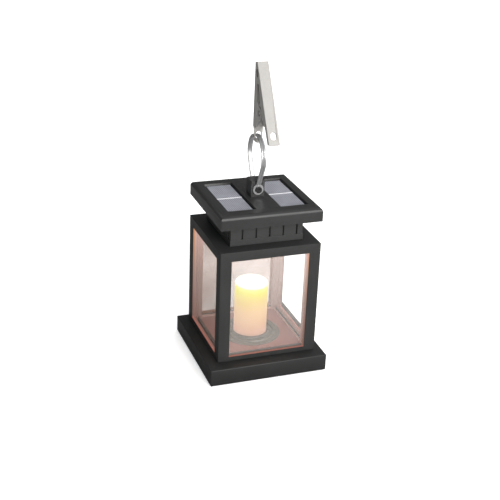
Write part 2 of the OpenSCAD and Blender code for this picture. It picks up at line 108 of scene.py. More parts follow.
# The candle's rim, as (out from the axis, up from the top) in millimetres.
CANDLE_RIM = (
    (0.0, -0.4), (8.4, -0.3), (9.7, -0.1), (10.3, 0.0),
    (11.0, -0.3), (11.5, -0.9), (11.85, -1.9), (12.0, -3.2),
)


# Settings


class LanternSizes(bpy.types.PropertyGroup):
    edge_round: bpy.props.FloatProperty(
        name="Moulded edge radius",
        description="Radius of the rounded edges of the black mouldings",
        default=0.45 * MM,
        min=0.1 * MM,
        max=0.6 * MM,
        unit="LENGTH",
    )
    steel_edge_round: bpy.props.FloatProperty(
        name="Steel edge radius",
        description="Radius of the deburred edges of the clip levers",
        default=0.13 * MM,
        min=0.05 * MM,
        max=0.25 * MM,
        unit="LENGTH",
    )
    bail_crease: bpy.props.FloatProperty(
        name="Bail crease depth",
        description="Depth of the groove along the middle of the bail strip",
        default=0.22 * MM,
        min=0.0,
        max=0.35 * MM,
        unit="LENGTH",
    )
    wax_wave: bpy.props.FloatProperty(
        name="Wax unevenness",
        description="How far the side of the candle wanders inwards from a true cylinder",
        default=0.12 * MM,
        min=0.0,
        max=0.4 * MM,
        unit="LENGTH",
    )
    spring_wire: bpy.props.FloatProperty(
        name="Spring wire diameter",
        description="Thickness of the wire of the clip spring",
        default=0.8 * MM,
        min=0.4 * MM,
        max=0.84 * MM,
        unit="LENGTH",
    )


class LanternColours(bpy.types.PropertyGroup):
    plastic: bpy.props.FloatVectorProperty(
        name="Black plastic",
        description="Colour of the moulded lantern parts",
        default=(0.0235, 0.0243, 0.0236),
        size=3,
        min=0.0,
        max=1.0,
        subtype="COLOR",
    )
    lit_plastic: bpy.props.FloatVectorProperty(
        name="Lit plastic",
        description="Colour of the plastic faces that the lamp floods with light",
        default=(0.155, 0.090, 0.074),
        size=3,
        min=0.0,
        max=1.0,
        subtype="COLOR",
    )
    steel: bpy.props.FloatVectorProperty(
        name="Plated steel",
        description="Colour of the clip levers, and lighter on their pin",
        default=(0.30, 0.292, 0.278),
        size=3,
        min=0.0,
        max=1.0,
        subtype="COLOR",
    )
    cell: bpy.props.FloatVectorProperty(
        name="Solar cell",
        description="Colour of the solar cells between their silver lines",
        default=(0.205, 0.210, 0.250),
        size=3,
        min=0.0,
        max=1.0,
        subtype="COLOR",
    )
    # The candle's glow is painted lamp light.
    lamp_glow: bpy.props.FloatProperty(
        name="Lamp glow",
        description="How strongly the candle glows",
        default=1.0,
        min=0.0,
        max=3.0,
        subtype="FACTOR",
    )


# Shader building


def add_node(tree, kind, **values):
    """A new node in a tree, with its own values and its inputs' values set."""
    made = tree.nodes.new(kind)
    for name, value in values.items():
        if hasattr(made, name):
            setattr(made, name, value)
        else:
            made.inputs[name.replace("_", " ")].default_value = value
    return made


def link(tree, source, target):
    tree.links.new(source, target)


def new_group(name, inputs, outputs):
    """An empty shader node group with named sockets, and its two end nodes."""
    tree = bpy.data.node_groups.new(name, "ShaderNodeTree")
    for label, kind, value in inputs:
        socket = tree.interface.new_socket(label, in_out="INPUT", socket_type=kind)
        socket.default_value = value
    for label, kind in outputs:
        tree.interface.new_socket(label, in_out="OUTPUT", socket_type=kind)
    return tree, tree.nodes.new("NodeGroupInput"), tree.nodes.new("NodeGroupOutput")


def math_node(tree, operation, first, second=None, clamp=False):
    """The output of a Math node on two values or sockets."""
    made = add_node(tree, "ShaderNodeMath", operation=operation, use_clamp=clamp)
    for socket, value in zip(made.inputs, (first, second)):
        if isinstance(value, bpy.types.NodeSocket):
            link(tree, value, socket)
        elif value is not None:
            socket.default_value = value
    return made.outputs[0]


def map_range(tree, value, low, high, to_low=0.0, to_high=1.0, smooth=False):
    """A value taken from one range to another, and held at its ends."""
    made = add_node(tree, "ShaderNodeMapRange", clamp=True)
    if smooth:
        made.interpolation_type = "SMOOTHSTEP"
    link(tree, value, made.inputs["Value"])
    for name, number in (
        ("From Min", low),
        ("From Max", high),
        ("To Min", to_low),
        ("To Max", to_high),
    ):
        made.inputs[name].default_value = number
    return made.outputs["Result"]


def mix_colour(tree, factor, first, second, blend="MIX"):
    """The colour between two colours or sockets."""
    made = add_node(tree, "ShaderNodeMix", data_type="RGBA", blend_type=blend)
    for name, value in (("Factor_Float", factor), ("A_Color", first), ("B_Color", second)):
        socket = next(s for s in made.inputs if s.identifier == name)
        if isinstance(value, bpy.types.NodeSocket):
            link(tree, value, socket)
        elif isinstance(value, (int, float)):
            socket.default_value = value
        else:
            socket.default_value = (*value[:3], 1.0)
    return next(s for s in made.outputs if s.identifier == "Result_Color")


def noise(tree, coordinates, scale, detail=3.0, roughness=0.55):
    """The output of a Noise texture whose scale is a value or a socket."""
    made = add_node(tree, "ShaderNodeTexNoise", Detail=detail, Roughness=roughness)
    link(tree, coordinates, made.inputs["Vector"])
    if isinstance(scale, bpy.types.NodeSocket):
        link(tree, scale, made.inputs["Scale"])
    else:
        made.inputs["Scale"].default_value = scale
    return made.outputs["Fac"]


def spread_noise(tree, value, to_low=0.0, to_high=1.0):
    """The usual range of a noise, spread between two values."""
    return map_range(tree, value, 0.3, 0.7, to_low, to_high)


def axes(tree, place):
    """The X, Y and Z outputs of a place."""
    split = add_node(tree, "ShaderNodeSeparateXYZ")
    link(tree, place, split.inputs[0])
    return split.outputs


def shade_by(tree, colour, gain):
    """A colour made lighter or darker by a gain."""
    grey = add_node(tree, "ShaderNodeCombineColor")
    for socket in grey.inputs[:3]:
        link(tree, gain, socket)
    return mix_colour(tree, 1.0, colour, grey.outputs[0], "MULTIPLY")


def wander(tree, cloud, amount):
    """A noise centred on nothing and scaled."""
    return math_node(tree, "MULTIPLY", math_node(tree, "SUBTRACT", cloud, 0.5), amount)


def object_place(tree, stretch=None):
    """Object coordinates, stretched by a Mapping node where asked."""
    place = add_node(tree, "ShaderNodeTexCoord").outputs["Object"]
    if stretch is None:
        return place
    mapping = add_node(tree, "ShaderNodeMapping")
    link(tree, place, mapping.inputs["Vector"])
    if isinstance(stretch, bpy.types.NodeSocket):
        link(tree, stretch, mapping.inputs["Scale"])
    else:
        mapping.inputs["Scale"].default_value = stretch
    return mapping.outputs["Vector"]


def make_grain_group():
    """Fine moulded grain with slow changes of shade and gloss."""
    tree, start, end = new_group(
        "Moulded grain",
        (
            ("Color", "NodeSocketColor", (0.1, 0.1, 0.1, 1.0)),
            ("Roughness", "NodeSocketFloat", 0.45),
            ("Grain", "NodeSocketFloat", 2600.0),
            ("Shade", "NodeSocketFloat", 0.16),
        ),
        (
            ("Color", "NodeSocketColor"),
            ("Roughness", "NodeSocketFloat"),
            ("Height", "NodeSocketFloat"),
        ),
    )
    place = object_place(tree)
    fine = noise(tree, place, start.outputs["Grain"], 2.0)
    slow = noise(tree, place, 55.0, 4.0)
    lift = wander(tree, slow, start.outputs["Shade"])
    gain = math_node(tree, "ADD", math_node(tree, "MULTIPLY", lift, 2.0), 1.0)
    colour = shade_by(tree, start.outputs["Color"], gain)
    spread = wander(tree, slow, 0.16)
    rough = math_node(tree, "ADD", start.outputs["Roughness"], spread, clamp=True)
    link(tree, colour, end.inputs["Color"])
    link(tree, rough, end.inputs["Roughness"])
    link(tree, fine, end.inputs["Height"])
    return tree


def make_drawn_group():
    """Fine lines that rolling and polishing leave in sheet steel and wire."""
    tree, start, end = new_group(
        "Drawn metal",
        (
            ("Color", "NodeSocketColor", (0.7, 0.7, 0.7, 1.0)),
            ("Roughness", "NodeSocketFloat", 0.3),
            ("Run", "NodeSocketVector", (1.0, 1.0, 1.0)),
        ),
        (
            ("Color", "NodeSocketColor"),
            ("Roughness", "NodeSocketFloat"),
            ("Height", "NodeSocketFloat"),
        ),
    )
    lines = noise(tree, object_place(tree, start.outputs["Run"]), 1.0, 3.0, 0.6)
    slow = noise(tree, object_place(tree), 130.0, 3.0)
    streak = spread_noise(tree, lines, 0.86, 1.08)
    colour = shade_by(tree, start.outputs["Color"], streak)
    spread = wander(tree, slow, 0.25)
    rough = math_node(tree, "ADD", start.outputs["Roughness"], spread, clamp=True)
    link(tree, colour, end.inputs["Color"])
    link(tree, rough, end.inputs["Roughness"])
    link(tree, lines, end.inputs["Height"])
    return tree


def make_flood_group():
    """Where the lamp floods the inside of the lantern with light, and how warm it is there."""
    tree, start, end = new_group(
        "Lamp flood",
        (
            ("Limit", "NodeSocketFloat", 0.0355),
            ("Top", "NodeSocketFloat", 0.0962),
        ),
        (
            ("Inside", "NodeSocketFloat"),
            ("Warmth", "NodeSocketFloat"),
            ("Jamb", "NodeSocketFloat"),
        ),
    )
    split = axes(tree, object_place(tree))
    side = math_node(
        tree,
        "MAXIMUM",
        math_node(tree, "ABSOLUTE", split["X"]),
        math_node(tree, "ABSOLUTE", split["Y"]),
    )
    depth = math_node(tree, "SUBTRACT", start.outputs["Limit"], side)
    inner = map_range(tree, depth, -0.05 * MM, 0.1 * MM)
    room = math_node(tree, "SUBTRACT", start.outputs["Top"], split["Z"])
    below = map_range(tree, room, 0.0, 0.2 * MM)
    inside = math_node(tree, "MULTIPLY", inner, below)
    warmth = map_range(tree, split["Z"], 0.03, 0.085, smooth=True)
    jamb_start, jamb_end = 34.2 * MM, 34.4 * MM
    jamb = map_range(tree, side, jamb_start, jamb_end)
    link(tree, inside, end.inputs["Inside"])
    link(tree, warmth, end.inputs["Warmth"])
    link(tree, jamb, end.inputs["Jamb"])
    return tree


GROUP_MAKERS = {
    "Moulded grain": make_grain_group,
    "Drawn metal": make_drawn_group,
    "Lamp flood": make_flood_group,
}
GROUPS = {}


def place_group(tree, name, **values):
    """One of the shared effects, with its own values."""
    if name not in GROUPS:
        GROUPS[name] = GROUP_MAKERS[name]()
    made = tree.nodes.new("ShaderNodeGroup")
    made.node_tree = GROUPS[name]
    for socket, value in values.items():
        made.inputs[socket].default_value = value
    return made


def new_material(name):
    """A material with only its Principled shader, its tree and that shader."""
    material = bpy.data.materials.new(name)
    material.use_nodes = True
    tree = material.node_tree
    return material, tree, tree.nodes["Principled BSDF"]


def add_bump(tree, shader, height, distance):
    """Raises a surface by a height socket, to a distance at full height."""
    bump = add_node(tree, "ShaderNodeBump", Strength=1.0, Distance=distance)
    link(tree, height, bump.inputs["Height"])
    link(tree, bump.outputs["Normal"], shader.inputs["Normal"])


def rgba(colour):
    return (*colour[:3], 1.0)


def shaded(colour, factor):
    """A colour made lighter or darker."""
    return tuple(part * factor for part in colour)


def plastic_material(name, colour, roughness, grain=2600.0, bump=FINE_BUMP, level=0.3):
    """Moulded plastic with a fine grain."""
    material, tree, shader = new_material(name)
    surface = place_group(
        tree, "Moulded grain", Color=rgba(colour), Roughness=roughness, Grain=grain
    )
    link(tree, surface.outputs["Color"], shader.inputs["Base Color"])
    link(tree, surface.outputs["Roughness"], shader.inputs["Roughness"])
    shader.inputs["Specular IOR Level"].default_value = level
    add_bump(tree, shader, surface.outputs["Height"], bump * MM)
    return material


def light_inside(tree, shader, surface, inside, base, light, level):
    """Gives a plastic its lamp-lit colour and light on the faces inside the lantern."""
    own = surface.outputs["Color"]
    link(tree, mix_colour(tree, inside, own, base), shader.inputs["Base Color"])
    link(tree, mix_colour(tree, inside, UNLIT, light), shader.inputs["Emission Color"])
    link(tree, surface.outputs["Roughness"], shader.inputs["Roughness"])
    shader.inputs["Emission Strength"].default_value = 1.0
    shader.inputs["Specular IOR Level"].default_value = level
    add_bump(tree, shader, surface.outputs["Height"], FINE_BUMP * MM)


def flooded_material(name, colour, lit, limit, glow, roughness=0.42):
    """Black plastic whose faces inside the lantern are flooded with the lamp's light."""
    material, tree, shader = new_material(name)
    surface = place_group(tree, "Moulded grain", Color=rgba(colour), Roughness=roughness)
    flood = place_group(tree, "Lamp flood", Limit=limit)
    warmth = flood.outputs["Warmth"]
    warm_lit = (lit[0] * 1.1, lit[1] * 1.08, lit[2] * 0.95)
    low_light = [part * glow for part in lit]
    high_light = (lit[0] * glow * 2.6, lit[1] * glow * 1.9, lit[2] * glow * 0.9)
    base = mix_colour(tree, warmth, lit, warm_lit)
    light = mix_colour(tree, warmth, low_light, high_light)
    light_inside(tree, shader, surface, flood.outputs["Inside"], base, light, 0.3)
    return material


def rise_ramp(tree, value, stops):
    """A colour that changes along a value, from (position, colour) stops."""
    ramp = add_node(tree, "ShaderNodeValToRGB")
    while len(ramp.color_ramp.elements) < len(stops):
        ramp.color_ramp.elements.new(0.5)
    for element, (position, colour) in zip(ramp.color_ramp.elements, stops):
        element.position = position
        element.color = rgba(colour)
    link(tree, value, ramp.inputs["Fac"])
    return ramp.outputs["Color"]


def frame_material(colour):
    """Black frame plastic with the lamp's light on its inner faces, the same at all four posts."""
    material, tree, shader = new_material("Black frame moulding")
    surface = place_group(tree, "Moulded grain", Color=rgba(colour), Roughness=0.45)
    flood = place_group(tree, "Lamp flood", Limit=BODY_HALF - 0.4 * MM)
    split = axes(tree, object_place(tree))
    height = map_range(tree, split["Z"], FLOOR_TOP, 90 * MM)
    post = rise_ramp(tree, height, POST_LIGHT)
    jamb = rise_ramp(tree, height, JAMB_LIGHT)
    light = mix_colour(tree, flood.outputs["Jamb"], post, jamb)
    base = (0.03, 0.02, 0.017)
    light_inside(tree, shader, surface, flood.outputs["Inside"], base, light, 0.12)
    return material


def metal_material(name, colour, roughness, run, bump=0.006, metallic=1.0):
    """Rolled or drawn metal."""
    material, tree, shader = new_material(name)
    surface = place_group(tree, "Drawn metal", Color=rgba(colour), Roughness=roughness, Run=run)
    link(tree, surface.outputs["Color"], shader.inputs["Base Color"])
    link(tree, surface.outputs["Roughness"], shader.inputs["Roughness"])
    shader.inputs["Metallic"].default_value = metallic
    add_bump(tree, shader, surface.outputs["Height"], bump * MM)
    return material


# Mesh building


def make_piece(bm, name, body, material, replaced, smooth_area=30e-6, angle=35.0):
    """Turns a bmesh into a finished piece that rides on a body."""
    mesh = bpy.data.meshes.new(name)
    for face in bm.faces:
        face.smooth = face.calc_area() < smooth_area
    bm.to_mesh(mesh)
    bm.free()
    mesh.set_sharp_from_angle(angle=math.radians(angle))
    piece = bpy.data.objects.new(name, mesh)
    bpy.context.scene.collection.objects.link(piece)
    mesh.materials.append(material)
    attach(piece, body)
    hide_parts(*replaced)
    return piece


def dress(node, material):
    """Gives a CAD node that stays a better material."""
    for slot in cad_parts[node].material_slots:
        slot.material = material


def rounded_copy(node, radius, shortest, angle=30.0, segments=3, wanted=None):
    """A bmesh copy of a CAD node with its long sharp edges rounded."""
    bm = bmesh.new()
    bm.from_mesh(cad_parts[node].data)
    bmesh.ops.remove_doubles(bm, verts=bm.verts, dist=MERGE_DISTANCE)
    bmesh.ops.dissolve_limit(
        bm,
        angle_limit=math.radians(0.5),
        verts=bm.verts,
        edges=bm.edges,
        use_dissolve_boundaries=False,
    )
    sharp = math.radians(angle)
    edges = [
        edge
        for edge in bm.edges
        if len(edge.link_faces) == 2
        and edge.calc_face_angle(0.0) > sharp
        and edge.is_convex
        and edge.calc_length() > shortest
        and (wanted is None or wanted(edge))
    ]
    bmesh.ops.bevel(
        bm,
        geom=edges,
        offset=radius,
        offset_type="OFFSET",
        affect="EDGES",
        segments=segments,
        profile=0.5,
        material=-1,
        clamp_overlap=True,
    )
    return bm


def turn_profile(points):
    """A closed surface turned about the Z axis from a profile given as points."""
    bm = bmesh.new()
    verts = [bm.verts.new(point) for point in points]
    edges = [bm.edges.new(pair) for pair in zip(verts, verts[1:])]
    bmesh.ops.spin(
        bm,
        geom=verts + edges,
        cent=(0, 0, 0),
        axis=(0, 0, 1),
        angle=math.tau,
        steps=96,
        use_merge=True,
    )
    bmesh.ops.remove_doubles(bm, verts=bm.verts, dist=MERGE_DISTANCE)
    bmesh.ops.recalc_face_normals(bm, faces=bm.faces)
    return bm


def ring_edges(geometry):
    """The edges among new geometry that join two of its new corners."""
    corners = {item for item in geometry if isinstance(item, bmesh.types.BMVert)}
    edges = [item for item in geometry if isinstance(item, bmesh.types.BMEdge)]
    return [edge for edge in edges if corners.issuperset(edge.verts)]


def settings():
    """The lantern's sizes and colours."""
    scene = bpy.context.scene
    return scene.lantern_sizes, scene.lantern_colours


# Pieces


class LANTERN_OT_mouldings(bpy.types.Operator):
    """Round the edges of the base, the lantern frame, the neck and the roof"""

    bl_idname = "lantern.mouldings"
    bl_label = "Mouldings"

    def outer_edge(self, edge):
        """Whether an edge of the lantern frame is one of its outer corners or its top edge."""
        slack = 0.1 * MM
        rim, top = BODY_HALF - slack, BODY_TOP - slack
        places = [(abs(vert.co.x), abs(vert.co.y), vert.co.z) for vert in edge.verts]
        on_corner = all(min(x, y) > rim for x, y, _ in places)
        on_top = all(max(x, y) > rim and z > top for x, y, z in places)
        return on_corner or on_top

    def execute(self, context):
        sizes, colours = settings()
        plastic = tuple(colours.plastic)
        shell = plastic_material("Black roof moulding", plastic, 0.38)
        # The neck and the base are the roof's black plastic, painted lighter on the neck and darker
        # on the base: painted light and shade.
        neck = plastic_material("Black neck moulding painted lighter", shaded(plastic, 1.5), 0.45, level=0.12)
        base = plastic_material("Black base moulding painted darker", shaded(plastic, 0.42), 0.5, level=0.4)
        lit_frame = frame_material(plastic)
        rows = (
            ("base_plate", "base_moulding", base, sizes.edge_round, None),
            ("lantern_frame", "frame_moulding", lit_frame, sizes.edge_round * 0.7, self.outer_edge),
            ("neck_housing", "neck_moulding", neck, sizes.edge_round * 0.5, None),
            ("roof_cap", "roof_moulding", shell, sizes.edge_round, None),
        )
        for node, name, material, radius, wanted in rows:
            bm = rounded_copy(node, radius, 5 * MM, wanted=wanted)
            make_piece(bm, name, "lantern", material, (node,))
        return {"FINISHED"}


class LANTERN_OT_glazing(bpy.types.Operator):
    """Give each of the four clear panes its own haze, with painted light and shade set per pane"""

    bl_idname = "lantern.glazing"
    bl_label = "Panes"

    def execute(self, context):
        for node, (low_tint, high_tint), low_veil, high_veil in PANES:
            material, tree, shader = new_material("Clear " + node.replace("_", " "))
            place = object_place(tree)
            split = axes(tree, place)
            rise = map_range(tree, split["Z"], 25 * MM, 85 * MM, smooth=True)
            cloud = spread_noise(tree, noise(tree, place, 60.0, 2.0), 0.85, 1.15)
            link(tree, mix_colour(tree, rise, low_tint, high_tint), shader.inputs["Base Color"])
            # The veil is a faint real haze plus painted light and shade, set per pane.
            veil = map_range(tree, rise, 0.0, 1.0, low_veil, high_veil)
            density = math_node(tree, "MULTIPLY", veil, cloud, clamp=True)
            link(tree, density, shader.inputs["Alpha"])
            smear = spread_noise(tree, noise(tree, place, 220.0, 3.0), 0.05, 0.12)
            link(tree, smear, shader.inputs["Roughness"])
            dress(node, material)
        return {"FINISHED"}


class LANTERN_OT_candle(bpy.types.Operator):
    """Make the candle with its painted lamp glow, its dish, the floor tray and the beads that hold
    the panes
    """

    bl_idname = "lantern.candle"
    bl_label = "Candle"

    def wax(self, glow):
        """Wax with the overhead lamp's light painted on as a glow by height, the same all round."""
        material, tree, shader = new_material("Wax with painted lamp glow")
        place = object_place(tree)
        split = axes(tree, place)
        drift = wander(tree, noise(tree, place, 70.0), 0.06)
        height = map_range(tree, split["Z"], CANDLE_LOW.z, CANDLE_HIGH.z)
        height = math_node(tree, "ADD", height, drift)
        glowing = rise_ramp(tree, height, CANDLE_LIGHT)
        # Painted lamp light: the candle's emission by height.
        link(tree, glowing, shader.inputs["Emission Color"])
        shader.inputs["Emission Strength"].default_value = glow
        pale = mix_colour(tree, height, (0.12, 0.07, 0.05), (0.14, 0.11, 0.04))
        link(tree, pale, shader.inputs["Base Color"])
        soft = spread_noise(tree, noise(tree, place, 400.0), 0.35, 0.5)
        link(tree, soft, shader.inputs["Roughness"])
        add_bump(tree, shader, noise(tree, place, 900.0, 2.0), 0.02 * MM)
        return material

    def execute(self, context):
        sizes, colours = settings()
        radius = CANDLE_HIGH.x
        low, high = CANDLE_LOW.z, CANDLE_HIGH.z
        points = [(out * MM, 0.0, high + up * MM) for out, up in CANDLE_RIM]
        shoulder = 3.2 * MM
        straight = high - low - 4.0 * MM
        side_steps = 30
        for step in range(1, side_steps):
            share = step / side_steps
            swing = math.cos(share * 23.0 + 1.5 * math.sin(share * 9.0))
            wave = sizes.wax_wave * (0.5 - 0.5 * swing)
            points.append((radius - wave, 0.0, high - shoulder - share * straight))
        points += [
            (radius - 0.15 * MM, 0.0, low + 0.5 * MM),
            (radius - 0.6 * MM, 0.0, low),
            (0.0, 0.0, low),
        ]
        bm = turn_profile(points)
        wax = self.wax(colours.lamp_glow)
        make_piece(bm, "wax_candle", "lantern", wax, ("candle",), angle=60.0)
        lit = tuple(colours.lit_plastic)
        # The floor tray is black plastic; its rose colour is the lamp's light painted in.
        lamp_lit_rose = (0.16, 0.060, 0.048)
        floor = flooded_material("Floor painted rose by the lamp", lamp_lit_rose, lamp_lit_rose, 33 * MM, 0.5, roughness=0.35)
        black = tuple(colours.plastic)
        bead = flooded_material("Black bead", black, shaded(lit, 1.2), 29.9 * MM, 0.9)
        dress("floor_tray", floor)
        dress("sill_beads", bead)
        # The dish gets only faint painted lamp light: its grey is partly its own colour and partly
        # the candle's shadow from the overhead lamp, painted in.
        grey, lit_grey = (0.045, 0.045, 0.036), (0.060, 0.056, 0.044)
        dish = flooded_material("Grey dish with painted candle shadow", grey, lit_grey, 25 * MM, 0.4, roughness=0.3)
        dress("candle_dish", dish)
        return {"FINISHED"}


class LANTERN_OT_solar_panels(bpy.types.Operator):
    """Give the solar cells their silver lines and their boards their dark gloss"""

    bl_idname = "lantern.solar_panels"
    bl_label = "Solar panels"

    def execute(self, context):
        colours = settings()[1]
        material, tree, shader = new_material("Solar cell")
        place = object_place(tree)
        split = axes(tree, place)
        pitch = 1.3 * MM
        phase = math_node(tree, "FRACT", math_node(tree, "DIVIDE", split["X"], pitch))
        off = math_node(tree, "ABSOLUTE", math_node(tree, "SUBTRACT", phase, 0.5))
        finger = map_range(tree, off, 0.16, 0.26, 1.0, 0.0)
        cloud = noise(tree, place, 160.0, 4.0)
        blotch = spread_noise(tree, cloud)
        cell = tuple(colours.cell)
        silicon = mix_colour(tree, blotch, shaded(cell, 0.8), shaded(cell, 1.2))
        silver_share = math_node(tree, "MULTIPLY", finger, 0.36)
        lines = mix_colour(tree, silver_share, silicon, (0.80, 0.81, 0.86))
        # Painted shade: the cells are darkened towards their front edge.
        front_edge_painted_shade = map_range(tree, split["Y"], 6 * MM, -22 * MM, 0.0, 0.15, smooth=True)
        surface = mix_colour(tree, front_edge_painted_shade, lines, shaded(cell, 0.6))
        link(tree, surface, shader.inputs["Base Color"])
        link(tree, spread_noise(tree, cloud, 0.28, 0.42), shader.inputs["Roughness"])
        shader.inputs["Coat Weight"].default_value = 0.6
        shader.inputs["Coat Roughness"].default_value = 0.15
        add_bump(tree, shader, finger, 0.01 * MM)
        for side in ("left", "right"):
            dress("solar_cell_" + side, material)
            name, colour = "Dark laminate " + side, (0.012, 0.013, 0.016)
            board = plastic_material(name, colour, 0.25, grain=900.0, level=0.5)
            dress("panel_board_" + side, board)
        colour, run = (0.88, 0.88, 0.91), (4000.0, 4000.0, 4000.0)
        silver = metal_material("Silver busbar", colour, 0.4, run, metallic=0.2)
        dress("solar_busbars", silver)
        return {"FINISHED"}


class LANTERN_OT_bail(bpy.types.Operator):
    """Make the creased steel bail and the screws that hold it"""

    bl_idname = "lantern.bail"
    bl_label = "Bail"

    def execute(self, context):
        sizes = settings()[0]
        low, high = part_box("bail_loop")
        thick = 0.9 * MM
        radius = 14 * MM
        half_width = 1.7 * MM
        mid_z = high.z - radius - thick / 2
        eye_radius = 3.8 * MM
        pin_z = low.z + eye_radius
        bend = Vector((0.0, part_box("bail_screws")[1].y - 1.7 * MM, pin_z + 3.3 * MM))
        reach = bend - Vector((0.0, 0.0, mid_z))
        touch_angle = math.atan2(reach.z, reach.y) + math.acos(radius / reach.length)
        touch_y, touch_rise = radius * math.cos(touch_angle), radius * math.sin(touch_angle)
        touch = Vector((0.0, touch_y, mid_z + touch_rise))
        crease = sizes.bail_crease
        corner = 0.16 * MM
        out, inn = thick / 2, -thick / 2
        half_profile = (
            (0.0, out - crease), (0.28 * MM, out - crease * 0.35), (0.6 * MM, out),
            (half_width - corner, out), (half_width - corner * 0.3, out - corner * 0.3),
            (half_width, out - corner), (half_width, inn + corner),
            (half_width - corner * 0.3, inn + corner * 0.3), (half_width - corner, inn),
        )
        loop = list(half_profile) + [(-x, r) for x, r in reversed(half_profile[1:])]
        bm = bmesh.new()
        ring = [bm.verts.new((x, 0.0, mid_z + radius + r)) for x, r in loop]
        edges = [bm.edges.new((ring[i], ring[(i + 1) % len(ring)])) for i in range(len(ring))]
        spun = bmesh.ops.spin(
            bm,
            geom=edges,
            cent=(0.0, 0.0, mid_z),
            axis=(1, 0, 0),
            angle=-(math.pi / 2 - touch_angle),
            steps=40,
            use_merge=False,
        )["geom_last"]
        along = (bend - touch).normalized()
        down = Vector((0.0, 0.0, -1.0))
        mitre = (along + down).normalized()
        for direction, plane_point, plane_normal in (
            (along, bend, mitre),
            (down, Vector((0.0, bend.y, pin_z)), down),
        ):
            spun = bmesh.ops.extrude_edge_only(bm, edges=ring_edges(spun))["geom"]
            for vert in (item for item in spun if isinstance(item, bmesh.types.BMVert)):
                distance = (plane_point - vert.co).dot(plane_normal) / direction.dot(plane_normal)
                vert.co += direction * distance
        bmesh.ops.contextual_create(bm, geom=ring_edges(spun))
        bmesh.ops.mirror(
            bm,
            geom=bm.verts[:] + bm.edges[:] + bm.faces[:],
            matrix=Matrix(),
            merge_dist=0.002 * MM,
            axis="Y",
        )
        bmesh.ops.recalc_face_normals(bm, faces=bm.faces)
        bore = 1.3 * MM
        edge = 0.15 * MM
        for side in (-1, 1):
            near = side * (bend.y - thick / 2)
            far = side * (bend.y + thick / 2)
            step = side * edge
            section = (
                (bore, near), (eye_radius - edge, near), (eye_radius, near + step),
                (eye_radius, far - step), (eye_radius - edge, far), (bore, far),
            )
            eye = bmesh.new()
            verts = [eye.verts.new((r, y, pin_z)) for r, y in section]
            rim = [eye.edges.new(pair) for pair in zip(verts, verts[1:] + verts[:1])]
            bmesh.ops.spin(
                eye,
                geom=rim,
                cent=(0.0, 0.0, pin_z),
                axis=(0, 1, 0),
                angle=math.tau,
                steps=64,
                use_merge=True,
            )
            bmesh.ops.remove_doubles(eye, verts=eye.verts, dist=MERGE_DISTANCE)
            bmesh.ops.recalc_face_normals(eye, faces=eye.faces)
            part = bpy.data.meshes.new("eye")
            eye.to_mesh(part)
            eye.free()
            bm.from_mesh(part)
            bpy.data.meshes.remove(part)
        colour, run = (0.32, 0.32, 0.325), (9000.0, 300.0, 300.0)
        polished = metal_material("Polished strip", colour, 0.34, run, 0.003, metallic=0.6)
        make_piece(bm, "bail_strip", "bail", polished, ("bail_loop",))
        screws = rounded_copy("bail_screws", 0.3 * MM, 0.1 * MM, angle=60.0)
        colour, run = (0.012, 0.012, 0.013), (3000.0, 3000.0, 3000.0)
        dark = metal_material("Dark screw", colour, 0.4, run, metallic=0.4)
        make_piece(screws, "bail_screw_heads", "lantern", dark, ("bail_screws",))
        return {"FINISHED"}


class LANTERN_OT_clip(bpy.types.Operator):
    """Deburr the two clip levers and plate them and their pin"""

    bl_idname = "lantern.clip"
    bl_label = "Clip"

    def execute(self, context):
        sizes, colours = settings()
        steel = tuple(colours.steel)
        run = (2600.0, 2600.0, 700.0)
        plated = metal_material("Plated lever", steel, 0.5, run, 0.008, metallic=0.2)
        rows = (
            ("clip_rear_lever", "rear_jaw_lever", "clip"),
            ("clip_front_lever", "front_jaw_lever", "front_jaw"),
        )
        for node, name, body in rows:
            bm = rounded_copy(node, sizes.steel_edge_round, 0.9 * MM, angle=50.0, segments=2)
            make_piece(bm, name, body, plated, (node,), smooth_area=4e-6)
        pin = metal_material("Plated pin", shaded(steel, 1.3), 0.3, (3000.0, 3000.0, 3000.0))
        bm = rounded_copy("clip_pin", 0.08 * MM, 0.0, angle=60.0, segments=2)
        make_piece(bm, "hinge_pin", "clip", pin, ("clip_pin",), smooth_area=1e-6)
        return {"FINISHED"}


